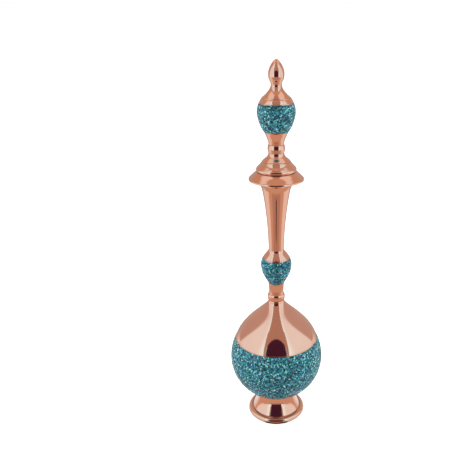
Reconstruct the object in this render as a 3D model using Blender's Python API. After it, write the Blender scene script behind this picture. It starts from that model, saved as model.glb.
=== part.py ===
"""A tall wine carafe of spun copper, inlaid with crushed turquoise on its belly, neck bulb and stopper.

Units are metres and +Z is up. Every piece is turned about the Z axis, and the foot stands on z = 0.
Sections are runs of (radius, height) points, and each piece stands on the one below it.
"""

import math

import bmesh
import bpy
from mathutils import Vector

# Sheet, stone and fits
WALL = 0.0010            # copper sheet of the spun shells
INLAY = 0.0010           # depth of the stone and resin, and the sheet of the shells that meet it flush
STRIP = 0.0008           # width of the soldered border strips
GAP = 0.0003             # between a piece and what it seats on
LAP = 0.0030             # how far a cup reaches up inside the shell above it
SPIGOT = 0.0040          # length of the spigots that join turned pieces
PLUG_CLEARANCE = 0.0004  # radial, between the stopper's plug and the mouth's bore

# Foot
FOOT_R = 0.0320
FOOT_STAND_R = 0.0267
FOOT_STAND_WIDTH = 0.0022
FOOT_WIDEST_H = 0.0053
FOOT_RIM_H = 0.0100
FOOT_CREASE_R = 0.0268
FOOT_NECK_R = 0.0195
FOOT_H = 0.0315
FOOT_RIM_LOW_FORM = (0.31, 0.35, 0.0, 0.31)
FOOT_RIM_TOP_FORM = (0.0, 0.75, 0.40, 0.0)
FOOT_DOME_FORM = (0.45, 0.29, 0.0, 0.37)

# Belly and shoulder
BELLY_R = 0.0510
BELLY_LOW_H = 0.0485     # half-height of the oval below the widest place
BELLY_TOP_H = 0.0530     # and of the one above it
BELLY_BAND_LOW = math.radians(-58.0)
BELLY_BAND_TOP = math.radians(28.5)
SHOULDER_H = 0.0438
SHOULDER_TOP_R = 0.0088
SHOULDER_FORM = (0.18, 0.44, 0.0, 0.13)

# Collar bead between the shoulder and the neck bulb
COLLAR_R = 0.0095
COLLAR_GROOVE_R = 0.0082
COLLAR_BASE_H = 0.0009
COLLAR_BEAD_H = 0.0076
COLLAR_H = 0.0110
COLLAR_BORE_R = 0.0052

# Neck bulb
STEM_R = 0.0079
STEM_H = 0.0095
BULB_LOW_R = 0.0085
BULB_R = 0.0164
BULB_LOW_H = 0.0221
BULB_BAND_RISE = 0.0083  # from the widest place up to the band's top edge
BULB_TOP_H = 0.0175
BULB_STEM_FORM = (0.0, 0.50, 0.0, 0.20)
BULB_LOW_FORM = (0.0, 0.11, 0.0, 0.50)
BULB_TOP_FORM = (0.0, 0.53, 0.0, 0.18)

# Trumpet neck and its mouth
NECK_R = 0.0082
NECK_FLARE_R = 0.0152
NECK_H = 0.0662
BELL_H = 0.0094
NECK_FORM = (0.02, 0.40, 0.38, 0.06)
BELL_FORM = (0.23, 0.42, 0.50, 0.10)
FLANGE_R = 0.0282
FLANGE_LIP = 0.0006      # how far the flange's edge hangs below the bell's edge
FLANGE_H = 0.0081
FLANGE_TOP_R = 0.0200
FLANGE_FORM = (0.09, 0.35, 0.22, 0.06)
MOUTH_R = 0.0150
MOUTH_COLLAR_H = 0.0090

# Stopper
PLUG_DEPTH = 0.0140
PLUG_CORNER = 0.0015
DOME_R = 0.0206
DOME_BASE_R = 0.0194
DOME_BEAD_H = 0.0039
DOME_CREASE_R = 0.0146
DOME_H = 0.0061
DOME_TOP_R = 0.0080
DOME_CONE_H = 0.0087
DOME_FORM = (0.22, 0.32, 0.60, 0.73)
DOME_CONE_FORM = (0.35, 0.38, 0.07, 0.57)
KNOP_R = 0.0088
KNOP_H = 0.0080
URN_BASE_R = 0.0079
URN_BASE_H = 0.0122
URN_LOW_R = 0.0120
URN_R = 0.0191
URN_LOW_H = 0.0202
URN_BAND_RISE = 0.0092   # from the widest place up to the band's top edge
URN_CREASE_R = 0.0145
URN_TOP_H = 0.0132
URN_CONE_H = 0.0128
URN_BASE_FORM = (0.0, 0.33, 0.30, 0.25)
URN_LOW_FORM = (0.61, 0.27, 0.0, 0.26)
URN_TOP_FORM = (0.0, 0.33, 0.57, 0.22)
URN_CONE_FORM = (0.49, 0.31, 0.0, 0.32)
FINIAL_BASE_R = 0.0054
FINIAL_R = 0.0079
FINIAL_LOW_H = 0.0102
FINIAL_TOP_H = 0.0135
FINIAL_LOW_FORM = (0.20, 0.44, 0.0, 0.77)
FINIAL_TOP_FORM = (0.0, 0.39, 0.39, 0.05)

# Facets
SEGMENTS = 28
BELLY_SEGMENTS = 48
TURN_PER_FACET = math.radians(14.0)
LONGEST_FACET = 0.022
FINE_STEPS = 64          # measuring steps on each curve of an outline
WELD = 0.000001
SHARP_ANGLE = math.radians(38.0)

# Colours, as shown by the polished metal and the stone
COPPER_COLOUR = (0.86, 0.45, 0.31, 1.0)
TURQUOISE_COLOUR = (0.07, 0.33, 0.40, 1.0)


def cubic(start, end, form):
    """A curve between two points. Its form gives the two handles as shares of the width and height."""
    start, end = Vector(start), Vector(end)
    across = end - start
    out = start + Vector((across.x * form[0], across.y * form[1]))
    back = end - Vector((across.x * form[2], across.y * form[3]))

    def at(t):
        s = 1.0 - t
        return start * s**3 + out * (3.0 * s * s * t) + back * (3.0 * s * t * t) + end * t**3

    return at


def oval(base_radius, height, reach, half_height, low, top):
    """An upright oval's side between two angles, reaching out from a base radius."""

    def at(t):
        angle = low + (top - low) * t
        return Vector((base_radius + reach * math.cos(angle), height + half_height * math.sin(angle)))

    return at


def bead(base_radius, radius, low, high):
    """A half-round bead between two heights."""
    quarter = math.pi / 2.0
    return oval(base_radius, (low + high) / 2.0, radius - base_radius, (high - low) / 2.0, -quarter, quarter)


class Outline:
    """The outer side of a turned shape, followed upwards and measured by the length along it."""

    def __init__(self, *curves):
        self.points = [curves[0](0.0)]
        for curve in curves:
            self.points += [curve(step / FINE_STEPS) for step in range(1, FINE_STEPS + 1)]
        self.lengths = [0.0]
        for low, high in zip(self.points, self.points[1:]):
            self.lengths.append(self.lengths[-1] + (high - low).length)
        self.joints = self.lengths[FINE_STEPS:-1:FINE_STEPS]
        self.end = self.lengths[-1]

    def point(self, length):
        length = min(max(length, 0.0), self.end)
        for step in range(1, len(self.lengths)):
            if self.lengths[step] >= length:
                break
        stretch = self.lengths[step] - self.lengths[step - 1]
        share = (length - self.lengths[step - 1]) / stretch
        return self.points[step - 1].lerp(self.points[step], share)

    def way(self, length):
        """The outline's direction, upwards."""
        return (self.point(length + WELD) - self.point(length - WELD)).normalized()

    def skin(self, length, depth=0.0):
        """The point that lies a depth inside the outline."""
        way = self.way(length)
        return self.point(length) - Vector((way.y, -way.x)) * depth

    def run(self, lengths, depth=0.0):
        return [self.skin(length, depth) for length in lengths]

    def facets(self, first=0.0, last=None):
        """Lengths from first to last, closer together where the outline bends, with every joint of curves."""
        last = self.end if last is None else last
        inner = [joint for joint in self.joints if first + WELD < joint < last - WELD]
        found = [first]
        for low, high in zip([first] + inner, inner + [last]):
            steps = even(low, high, FINE_STEPS)
            ways = [self.way((a + b) / 2.0) for a, b in zip(steps, steps[1:])]
            turns = [0.0] + [a.angle(b) for a, b in zip(ways, ways[1:])]
            share = (high - low) / FINE_STEPS / LONGEST_FACET
            effort = [sum(turns[:step]) / TURN_PER_FACET + share * step for step in range(1, FINE_STEPS + 1)]
            count = max(1, round(effort[-1]))
            for facet in range(1, count):
                due = effort[-1] * facet / count
                found.append(next(length for length, spent in zip(steps[1:], effort) if spent >= due))
            found.append(high)
        return found

    def length_at(self, height):
        """The length along the outline at which it reaches a height."""
        for step in range(1, len(self.points)):
            low, high = self.points[step - 1].y, self.points[step].y
            if high >= height > low:
                share = (height - low) / (high - low)
                return self.lengths[step - 1] + share * (self.lengths[step] - self.lengths[step - 1])
        return self.end


def even(first, last, count):
    """The lengths that part a stretch into equal ones, with both its ends."""
    return [first + (last - first) * step / count for step in range(count + 1)]


def at_height(points, shift):
    """Points of a section, given from a height that they are moved up to."""
    return [Vector((radius, height + shift)) for radius, height in points]


def material(name, colour, metallic, roughness):
    made = bpy.data.materials.new(name)
    made.use_nodes = True
    shader = made.node_tree.nodes["Principled BSDF"]
    shader.inputs["Base Color"].default_value = colour
    shader.inputs["Metallic"].default_value = metallic
    shader.inputs["Roughness"].default_value = roughness
    made.diffuse_color = colour
    return made


def turned(name, section, finish, body, segments=SEGMENTS):
    """Turn a section about the Z axis. A section closes on itself, or has both its ends on the axis."""
    seat = min(point.y for point in section)
    shape = bmesh.new()
    corners = [shape.verts.new((max(point.x, 0.0), 0.0, point.y - seat)) for point in section]
    pairs = list(zip(corners, corners[1:]))
    if corners[0].co.x > WELD:
        pairs.append((corners[-1], corners[0]))
    sides = [shape.edges.new(pair) for pair in pairs]
    bmesh.ops.spin(
        shape,
        geom=corners + sides,
        cent=(0.0, 0.0, 0.0),
        axis=(0.0, 0.0, 1.0),
        angle=2.0 * math.pi,
        steps=segments,
        use_merge=True,
    )
    bmesh.ops.remove_doubles(shape, verts=shape.verts, dist=WELD)
    bmesh.ops.recalc_face_normals(shape, faces=shape.faces)
    mesh = bpy.data.meshes.new(name)
    shape.to_mesh(mesh)
    shape.free()
    mesh.shade_smooth()
    mesh.set_sharp_from_angle(angle=SHARP_ANGLE)
    mesh.materials.append(finish)
    piece = bpy.data.objects.new(name, mesh)
    bpy.context.scene.collection.objects.link(piece)
    piece.parent = body
    piece.location = (0.0, 0.0, seat - body.location.z)
    return piece


def empty_body(name, height):
    """An empty on the carafe's axis that carries the pieces of one body."""
    body = bpy.data.objects.new(name, None)
    bpy.context.scene.collection.objects.link(body)
    body.location = (0.0, 0.0, height)
    return body


def shell(outline, lengths, wall):
    """A sheet's section: up its outer side and down its inner side."""
    return outline.run(lengths) + outline.run(lengths, wall)[::-1]


def inlay_band(name, outline, low, top, body, segments=SEGMENTS):
    """The turquoise between its two border strips, set into an outline. Gives the cup below its lengths."""
    for place, start in (("lower", low), ("upper", top - STRIP)):
        strip = shell(outline, [start, start + STRIP], INLAY)
        turned(f"{name}_strip_{place}", strip, COPPER, body, segments)
    lengths = outline.facets(low + STRIP + GAP, top - STRIP - GAP)
    turned(f"{name}_turquoise", shell(outline, lengths, INLAY), TURQUOISE, body, segments)
    return [low] + lengths + [top]


def cup(name, base, outline, band, top, body):
    """The cup that carries a band on a ledge, flush with it, and reaches up inside the cap above it."""
    lengths = band + [top + LAP - GAP]
    depth = INLAY + GAP
    ledge = outline.skin(0.0, depth) - outline.way(0.0) * GAP
    outer = base.run(base.facets()) + [ledge] + outline.run(lengths, depth)
    inner = base.run(base.facets(), WALL)[:-1] + outline.run(lengths, depth + WALL)
    turned(name, outer + inner[::-1], COPPER, body)


def cap(name, outline, top, body, segments=SEGMENTS):
    """The shell that laps over a cup's rim and goes on from the band, flush with it, to the outline's end."""
    section = shell(outline, [top + GAP] + outline.facets(top + LAP), INLAY)
    turned(name, section, COPPER, body, segments)


def spigot_down(radius, bore, height):
    """The lower end of a turned piece, from its bore out and up to the height that it seats at."""
    return at_height([(bore, -SPIGOT), (radius, -SPIGOT), (radius, 0.0)], height)


def spigot_up(radius, bore, height):
    return at_height([(radius, 0.0), (radius, SPIGOT), (bore, SPIGOT)], height)


def foot(body):
    """A hollow spun foot with a rolled rim, open underneath, whose neck fits the bowl's round underside."""
    outline = Outline(
        cubic((FOOT_STAND_R, 0.0), (FOOT_R, FOOT_WIDEST_H), FOOT_RIM_LOW_FORM),
        cubic((FOOT_R, FOOT_WIDEST_H), (FOOT_CREASE_R, FOOT_RIM_H), FOOT_RIM_TOP_FORM),
        cubic((FOOT_CREASE_R, FOOT_RIM_H), (FOOT_NECK_R, FOOT_H), FOOT_DOME_FORM),
    )
    outer = outline.run(outline.facets())
    inner = outline.run(outline.facets()[1:-1], WALL)
    neck_bore = FOOT_NECK_R - WALL
    seat = Vector((neck_bore, BELLY_HEIGHT - bowl_drop(neck_bore) - GAP))
    stand_r = FOOT_STAND_R - FOOT_STAND_WIDTH
    lip = at_height([(stand_r, WALL), (stand_r, 0.0)], 0.0)
    turned("foot", outer + [seat] + inner[::-1] + lip, COPPER, body)


def bowl_drop(radius):
    """How far the bowl's outer side lies below the belly's middle at a radius."""
    depth = INLAY + GAP
    return (BELLY_LOW_H - depth) * math.sqrt(1.0 - (radius / (BELLY_R - depth)) ** 2)


def belly(body):
    """The bowl, its turquoise and the shoulder. Gives the height of the shoulder's top."""
    band_top = BELLY_HEIGHT + BELLY_TOP_H * math.sin(BELLY_BAND_TOP)
    band_low = BELLY_HEIGHT + BELLY_LOW_H * math.sin(BELLY_BAND_LOW)
    top_height = band_top + SHOULDER_H
    lower = oval(0.0, BELLY_HEIGHT, BELLY_R, BELLY_LOW_H, -math.pi / 2.0, 0.0)
    upper = oval(0.0, BELLY_HEIGHT, BELLY_R, BELLY_TOP_H, 0.0, BELLY_BAND_TOP)
    shoulder = cubic(upper(1.0), (SHOULDER_TOP_R, top_height), SHOULDER_FORM)
    outline = Outline(lower, upper, shoulder)
    low, top = outline.length_at(band_low), outline.length_at(band_top)
    band = inlay_band("belly", outline, low, top, body, BELLY_SEGMENTS)
    depth = INLAY + GAP
    lengths = outline.facets(0.0, low)[:-1] + band + [top + LAP - GAP]
    section = outline.run(lengths, depth) + outline.run(lengths, depth + WALL)[::-1]
    turned("belly_bowl", section, COPPER, body, BELLY_SEGMENTS)
    cap("belly_shoulder", outline, top, body, BELLY_SEGMENTS)
    return top_height


def collar(height, body):
    """A turned bead, bored through for the wine, with a spigot into the shoulder and one into the bulb."""
    groove, bead_top = height + COLLAR_BASE_H, height + COLLAR_BASE_H + COLLAR_BEAD_H
    ball = Outline(bead(COLLAR_GROOVE_R, COLLAR_R, groove, bead_top))
    section = spigot_down(SHOULDER_TOP_R - INLAY - GAP, COLLAR_BORE_R, height)
    section.append(Vector((SHOULDER_TOP_R, height)))
    section += ball.run(ball.facets())
    section.append(Vector((STEM_R, height + COLLAR_H)))
    section += spigot_up(STEM_R - WALL - GAP, COLLAR_BORE_R, height + COLLAR_H)
    turned("neck_collar", section, COPPER, body)
    return height + COLLAR_H


def neck_bulb(height, body):
    """The small inlaid bulb of the neck: cup, turquoise and cap. Gives the height of the cap's top."""
    low_height = height + STEM_H
    wide_height = low_height + BULB_LOW_H
    outline = Outline(
        cubic((BULB_LOW_R, low_height), (BULB_R, wide_height), BULB_LOW_FORM),
        cubic((BULB_R, wide_height), (NECK_R, wide_height + BULB_TOP_H), BULB_TOP_FORM),
    )
    top = outline.length_at(wide_height + BULB_BAND_RISE)
    base = Outline(cubic((STEM_R, height), outline.skin(0.0) - outline.way(0.0) * GAP, BULB_STEM_FORM))
    band = inlay_band("neck_bulb", outline, 0.0, top, body)
    cup("neck_bulb_cup", base, outline, band, top, body)
    cap("neck_bulb_cap", outline, top, body)
    return wide_height + BULB_TOP_H


def trumpet(height, body):
    """The flared neck, stepped in at its lower end to plug into the bulb's cap. Gives the bell's height."""
    flare_height = height + NECK_H
    bell_height = flare_height + BELL_H
    bell_r = FLANGE_R - WALL - GAP
    outline = Outline(
        cubic((NECK_R, height), (NECK_FLARE_R, flare_height), NECK_FORM),
        cubic((NECK_FLARE_R, flare_height), (bell_r, bell_height), BELL_FORM),
    )
    spigot_r = NECK_R - INLAY - GAP
    section = spigot_down(spigot_r, spigot_r - WALL, height) + outline.run(outline.facets())
    section += outline.run(outline.facets()[1:], WALL)[::-1]
    section += at_height([(NECK_R - WALL, 2.0 * WALL), (spigot_r - WALL, WALL)], height)
    turned("neck_trumpet", section, COPPER, body)
    return bell_height


def mouth_flange(bell_height, body):
    """The sloping cover over the bell, with an edge over the bell's own and a collar that guides the plug."""
    edge_height = bell_height + WALL
    top_height = edge_height + FLANGE_H
    slope = Outline(cubic((FLANGE_R, edge_height), (FLANGE_TOP_R, top_height), FLANGE_FORM))
    section = [Vector((FLANGE_R, bell_height - FLANGE_LIP))]
    section += slope.run(slope.facets())
    section += at_height([(MOUTH_R, 0.0), (MOUTH_R, -MOUTH_COLLAR_H)], top_height)
    section += at_height([(MOUTH_R + WALL, -MOUTH_COLLAR_H), (MOUTH_R + WALL, -WALL)], top_height)
    section += slope.run(slope.facets(), WALL)[::-1]
    section.append(Vector((FLANGE_R - WALL, bell_height - FLANGE_LIP)))
    turned("mouth_flange", section, COPPER, body)
    return top_height


def stopper_plug(height, body):
    """A drawn cup that fills the mouth's bore, with a rim that lies on the flange inside the dome's edge."""
    radius = MOUTH_R - PLUG_CLEARANCE
    rim_r = DOME_BASE_R - WALL - GAP
    outer = [(0.0, -PLUG_DEPTH), (radius - PLUG_CORNER, -PLUG_DEPTH), (radius, PLUG_CORNER - PLUG_DEPTH)]
    rim = [(radius, 0.0), (rim_r, 0.0), (rim_r, WALL), (radius - WALL, WALL)]
    inside = WALL - PLUG_DEPTH
    inner = [(radius - WALL, inside + PLUG_CORNER), (radius - WALL - PLUG_CORNER, inside), (0.0, inside)]
    turned("stopper_plug", at_height(outer + rim + inner, height), COPPER, body)


def stopper_dome(height, body):
    """The stopper's spun cover with a beaded edge. Gives the height of its top."""
    crease_height = height + DOME_BEAD_H + DOME_H
    top_height = crease_height + DOME_CONE_H
    outline = Outline(
        bead(DOME_BASE_R, DOME_R, height, height + DOME_BEAD_H),
        cubic((DOME_BASE_R, height + DOME_BEAD_H), (DOME_CREASE_R, crease_height), DOME_FORM),
        cubic((DOME_CREASE_R, crease_height), (DOME_TOP_R, top_height), DOME_CONE_FORM),
    )
    outer = outline.run(outline.facets())
    inner = [Vector((DOME_BASE_R - WALL, height))] + outline.run(outline.facets(outline.joints[0]), WALL)
    turned("stopper_dome", outer + inner[::-1], COPPER, body)
    return top_height


def stopper_knop(height, body):
    """A solid turned bead with a spigot into the dome and one into the urn's cup."""
    ball = Outline(bead(DOME_TOP_R, KNOP_R, height, height + KNOP_H))
    section = spigot_down(DOME_TOP_R - WALL - GAP, 0.0, height)
    section += ball.run(ball.facets())
    section += spigot_up(URN_BASE_R - WALL - GAP, 0.0, height + KNOP_H)
    turned("stopper_knop", section, COPPER, body)
    return height + KNOP_H


def stopper_urn(height, body):
    """The inlaid urn of the stopper: cup, turquoise and cap. Gives the height of the cap's top."""
    low_height = height + URN_BASE_H
    wide_height = low_height + URN_LOW_H
    crease_height = wide_height + URN_TOP_H
    top_height = crease_height + URN_CONE_H
    outline = Outline(
        cubic((URN_LOW_R, low_height), (URN_R, wide_height), URN_LOW_FORM),
        cubic((URN_R, wide_height), (URN_CREASE_R, crease_height), URN_TOP_FORM),
        cubic((URN_CREASE_R, crease_height), (FINIAL_BASE_R, top_height), URN_CONE_FORM),
    )
    top = outline.length_at(wide_height + URN_BAND_RISE)
    base = Outline(cubic((URN_BASE_R, height), outline.skin(0.0) - outline.way(0.0) * GAP, URN_BASE_FORM))
    band = inlay_band("stopper_urn", outline, 0.0, top, body)
    cup("stopper_urn_cup", base, outline, band, top, body)
    cap("stopper_urn_cap", outline, top, body)
    return top_height


def stopper_finial(height, body):
    """The solid turned drop on top, with a spigot into the urn's cap."""
    wide_height = height + FINIAL_LOW_H
    outline = Outline(
        cubic((FINIAL_BASE_R, height), (FINIAL_R, wide_height), FINIAL_LOW_FORM),
        cubic((FINIAL_R, wide_height), (0.0, wide_height + FINIAL_TOP_H), FINIAL_TOP_FORM),
    )
    section = spigot_down(FINIAL_BASE_R - INLAY - GAP, 0.0, height)
    section += outline.run(outline.facets())
    turned("stopper_finial", section, COPPER, body)


for old in list(bpy.data.objects):
    bpy.data.objects.remove(old, do_unlink=True)

COPPER = material("polished_copper", COPPER_COLOUR, metallic=1.0, roughness=0.12)
TURQUOISE = material("turquoise_chips", TURQUOISE_COLOUR, metallic=0.0, roughness=0.25)

# The belly rests on the outer edge of the foot's neck
BELLY_HEIGHT = FOOT_H + GAP + bowl_drop(FOOT_NECK_R)

carafe = empty_body("carafe", 0.0)
foot(carafe)
shoulder_top = belly(carafe)
collar_top = collar(shoulder_top + GAP, carafe)
bulb_top = neck_bulb(collar_top + GAP, carafe)
bell_edge = trumpet(bulb_top + GAP, carafe)
mouth_top = mouth_flange(bell_edge, carafe)

stopper = empty_body("stopper", mouth_top + GAP)
stopper_plug(mouth_top + GAP, stopper)
dome_top = stopper_dome(mouth_top + GAP, stopper)
knop_top = stopper_knop(dome_top + GAP, stopper)
urn_top = stopper_urn(knop_top + GAP, stopper)
stopper_finial(urn_top + GAP, stopper)
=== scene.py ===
"""Dresses the packed wine carafe in polished copper and crushed turquoise, in a plain studio.

Units are metres and +Z is up. Every piece is turned about the Z axis, and its sections are runs of
(radius, height) points. The pieces stand where the packed model's solids stand.
"""

import bisect
import math
import random

import bpy
from bpy.props import FloatProperty, FloatVectorProperty, IntProperty, PointerProperty
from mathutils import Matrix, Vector
from mathutils.geometry import delaunay_2d_cdt


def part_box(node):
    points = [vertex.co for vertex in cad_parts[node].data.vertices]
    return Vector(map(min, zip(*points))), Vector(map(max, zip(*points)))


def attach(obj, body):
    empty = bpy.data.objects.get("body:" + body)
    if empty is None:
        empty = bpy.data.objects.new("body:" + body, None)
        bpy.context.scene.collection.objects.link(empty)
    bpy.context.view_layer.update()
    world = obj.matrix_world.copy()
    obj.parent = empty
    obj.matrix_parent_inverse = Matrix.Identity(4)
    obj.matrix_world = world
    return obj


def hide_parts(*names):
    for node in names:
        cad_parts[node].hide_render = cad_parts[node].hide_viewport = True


bl_info = {
    "name": "Inlaid Copper Carafe",
    "version": (1, 0, 0),
    "blender": (4, 5, 0),
    "location": "3D View > Sidebar > Carafe",
    "description": "Builds a stoppered carafe of spun copper with bands of crushed turquoise",
    "category": "Add Mesh",
}

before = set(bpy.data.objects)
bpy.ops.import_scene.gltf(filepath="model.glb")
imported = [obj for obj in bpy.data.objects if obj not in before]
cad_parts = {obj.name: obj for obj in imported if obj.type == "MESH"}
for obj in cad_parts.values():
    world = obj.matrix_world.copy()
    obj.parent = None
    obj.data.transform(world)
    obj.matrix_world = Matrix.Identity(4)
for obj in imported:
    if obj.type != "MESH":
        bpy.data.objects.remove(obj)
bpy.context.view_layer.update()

FULL_TURN = 2.0 * math.pi
WELD = 0.000001
FINE_WELD = WELD / 4.0
FINE_STEPS = 96  # measuring steps on each curve of an outline
TURN_PER_RING = math.radians(4.0)
LONGEST_RING = 0.0022
BESIDE_JOINT = 0.00035  # how close two more rings lie to a joint of curves
SPIN_STEPS = 144
CUT_ANGLE = math.radians(35.0)  # edges sharper than this are rounded
SMOOTH_ANGLE = math.radians(20.0)  # flatter edges than this are shaded smooth
SEAM_WIDTH = 0.00016  # how far the copper darkens beside a piece's lowest and highest edge: solder and polish where pieces join, painted shade at the foot's standing edge and the finial's tip
CREASE_SHADE_WIDTH = 0.00018  # how far the painted shade beside a crease reaches
CREASE_SHADE_DEPTH = 1.8  # how much darker the painted shade in a crease is than the darkening at the joins
STEP_FADE = 0.0022  # length over which the urn cap's step dies away

# Shares of each curve's width and height that its two handles take, at its start and at its end
FOOT_FORMS = ((0.31, 0.35, 0.0, 0.31), (0.0, 0.75, 0.40, 0.0), (0.45, 0.29, 0.0, 0.37))
SHOULDER_FORM = (0.18, 0.44, 0.0, 0.13)
BULB_STEM_FORM = (0.0, 0.50, 0.0, 0.20)
BULB_FORMS = ((0.0, 0.11, 0.0, 0.50), (0.0, 0.53, 0.0, 0.18))
NECK_FORMS = ((0.02, 0.40, 0.30, 0.09), (0.19, 0.60, 0.60, 0.06))
FLANGE_FORM = (0.28, 0.29, 0.22, 0.08)
DOME_FORMS = ((0.22, 0.32, 0.60, 0.73), (0.35, 0.38, 0.07, 0.57))
URN_BASE_FORM = (0.0, 0.33, 0.30, 0.25)
URN_FORMS = ((0.61, 0.27, 0.0, 0.26), (0.0, 0.33, 0.57, 0.22), (0.49, 0.31, 0.0, 0.32))
FINIAL_FORMS = ((0.20, 0.44, 0.0, 0.77), (0.0, 0.39, 0.39, 0.05))


def low_of(node):
    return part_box(node)[0].z


def top_of(node):
    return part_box(node)[1].z


def reach_of(node):
    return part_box(node)[1].x


def number(label, about, default, **kind):
    return FloatProperty(name=label, description=about, default=default, **kind)


def size(label, about, default):
    return number(label, about, default, min=0.0, precision=5, unit="LENGTH")


def angle(label, about, degrees):
    return number(label, about, math.radians(degrees), subtype="ANGLE")


def share(label, about, default):
    return number(label, about, default, min=0.0, max=1.0, subtype="FACTOR")


def colour(label, about, default):
    return FloatVectorProperty(
        name=label, description=about, default=default, subtype="COLOR", min=0.0
    )


class SheetSizes(bpy.types.PropertyGroup):
    """The copper sheet and the fits between its pieces."""

    wall: size("Wall", "Thickness of the spun copper shells", 0.0010)
    inlay: size("Inlay", "Depth of the stone bands and of the shells flush with them", 0.0010)
    strip: size("Strip", "Width of the soldered border strips", 0.0008)
    gap: size("Gap", "Film of solder or resin between two pieces", 0.0003)
    lap: size("Lap", "How far a cup reaches up inside the shell above it", 0.0030)
    spigot: size("Spigot", "Length of the spigots that join turned pieces", 0.0040)
    film: size("Film", "How far a piece reaches down into the solder film under it", 0.00026)
    edge: size("Edge", "Width of the rounding on cut edges", 0.00008)


class BodySizes(bpy.types.PropertyGroup):
    """Foot, belly and neck."""

    foot_radius: size("Foot radius", "Widest radius of the foot's rolled rim", reach_of("foot"))
    foot_height: size("Foot height", "Height of the foot's neck", top_of("foot"))
    foot_stand: size("Foot stand", "Outer radius that stands on the table", 0.0267)
    foot_stand_width: size("Foot stand width", "Width of the rim's flat underside", 0.0022)
    foot_widest: size("Foot widest", "Height of the rim's widest place", 0.0053)
    foot_rim: size("Foot rim", "Height of the crease above the rim", 0.0100)
    foot_crease: size("Foot crease", "Radius of the crease above the rim", 0.0268)
    foot_neck: size("Foot neck", "Radius of the foot under the belly", 0.0195)
    belly_radius: size("Belly radius", "Widest radius of the belly", reach_of("belly_turquoise"))
    belly_low: size("Belly lower height", "Half-height of the oval below the widest place", 0.0485)
    belly_top: size("Belly upper height", "Half-height of the oval above the widest place", 0.0530)
    band_top: angle("Band top", "Angle on the belly's oval of the inlay's upper edge", 28.5)
    shoulder_top: size("Shoulder top", "Radius of the shoulder's upper end", 0.0088)
    collar_groove: size("Collar groove", "Radius above and below the collar's bead", 0.0082)
    collar_base: size("Collar base", "Height of the groove under the bead", 0.0009)
    collar_bead: size("Collar bead", "Height of the bead", 0.0076)
    bore: size("Bore", "Radius of the collar's bore", 0.0052)
    stem: size("Stem", "Radius of the neck bulb's stem", 0.0079)
    stem_height: size("Stem height", "Height of the stem under the bulb's inlay", 0.0095)
    bulb_low: size("Bulb low radius", "Radius of the inlay's lower edge", 0.0085)
    bulb_rise: size("Bulb rise", "From the inlay's lower edge to the widest place", 0.0221)
    neck: size("Neck", "Least radius of the trumpet neck", 0.0082)
    flare: size("Flare", "Radius of the neck where the bell begins", 0.0152)
    bell_height: size("Bell height", "Height of the bell under the mouth", 0.0094)


class MouthSizes(bpy.types.PropertyGroup):
    """The flange round the mouth."""

    radius: size("Flange radius", "Widest radius of the flange", reach_of("mouth_flange"))
    top_radius: size("Flange top", "Radius where the slope meets the mouth's flat ring", 0.0200)
    lip: size("Lip", "How far the flange's edge hangs below the bell's edge", 0.0006)
    bore: size("Mouth", "Radius of the mouth", 0.0150)
    collar: size("Mouth collar", "Depth of the collar that guides the plug", 0.0090)


class StopperSizes(bpy.types.PropertyGroup):
    """Plug, dome, knop, urn and finial."""

    clearance: size("Plug clearance", "Radial clearance of the plug in the mouth", 0.0004)
    plug_corner: size("Plug corner", "Slant of the plug's lower edge", 0.0015)
    dome_radius: size("Dome radius", "Radius of the dome's beaded edge", reach_of("stopper_dome"))
    dome_base: size("Dome base", "Radius of the dome above its bead", 0.0194)
    dome_bead: size("Dome bead", "Height of the beaded edge", 0.0039)
    dome_crease: size("Dome crease", "Radius of the crease between dome and cone", 0.0146)
    dome_height: size("Dome height", "From the bead to the crease", 0.0061)
    dome_top: size("Dome top", "Radius of the cone's upper end", 0.0080)
    urn_base: size("Urn base", "Radius of the urn's foot", 0.0079)
    urn_base_height: size("Urn base height", "Height of the urn's foot under the inlay", 0.0122)
    urn_low: size("Urn low radius", "Radius of the inlay's lower edge", 0.0120)
    urn_rise: size("Urn rise", "From the inlay's lower edge to the widest place", 0.0202)
    urn_crease: size("Urn crease", "Radius of the crease in the cap", 0.0145)
    urn_shoulder: size("Urn shoulder", "From the widest place to the crease", 0.0132)
    urn_step: size("Urn step", "How far the cap's cone stands up over the crease", 0.00045)
    finial_base: size("Finial base", "Radius of the finial's foot", 0.0054)
    finial_rise: size("Finial rise", "Height of the finial's widest place", 0.0102)


class StoneSizes(bpy.types.PropertyGroup):
    """The crushed turquoise set in dark resin."""

    pitch: size("Chip pitch", "Mean distance from one chip to the next on the belly", 0.00146)
    fine_pitch: size("Fine chip pitch", "The same on the two small bands", 0.00124)
    resin_line: size("Resin line", "Half the width of the resin between two chips", 0.00014)
    groove: size("Groove", "Depth of the resin lines below the chips", 0.00012)
    tilt: share("Tilt", "Slope of the most tilted chips", 0.09)
    scatter: share("Scatter", "How far a chip strays from its place, in pitches", 0.42)
    missing: share("Large chips", "Share of places that a larger neighbour closes up over", 0.07)
    seed: IntProperty(name="Seed", description="Draw of the chips", default=11, min=0)
    resin: colour("Resin", "Colour of the resin between the chips", (0.008, 0.034, 0.042))


class CopperLook(bpy.types.PropertyGroup):
    """The polished copper."""

    metal: colour("Copper", "Colour of the polished metal", (0.88, 0.56, 0.42))
    tarnish: colour("Tarnish", "Colour of the warmer, duller places", (0.80, 0.43, 0.29))
    # This colour darkens the joins as solder and polish, and also paints shade in creases, at the
    # foot's standing edge and at the finial's tip.
    seam: colour("Seam", "Colour of the solder and polish left in the seams", (0.30, 0.13, 0.08))
    roughness: share("Roughness", "Roughness of the polished metal", 0.07)


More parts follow.
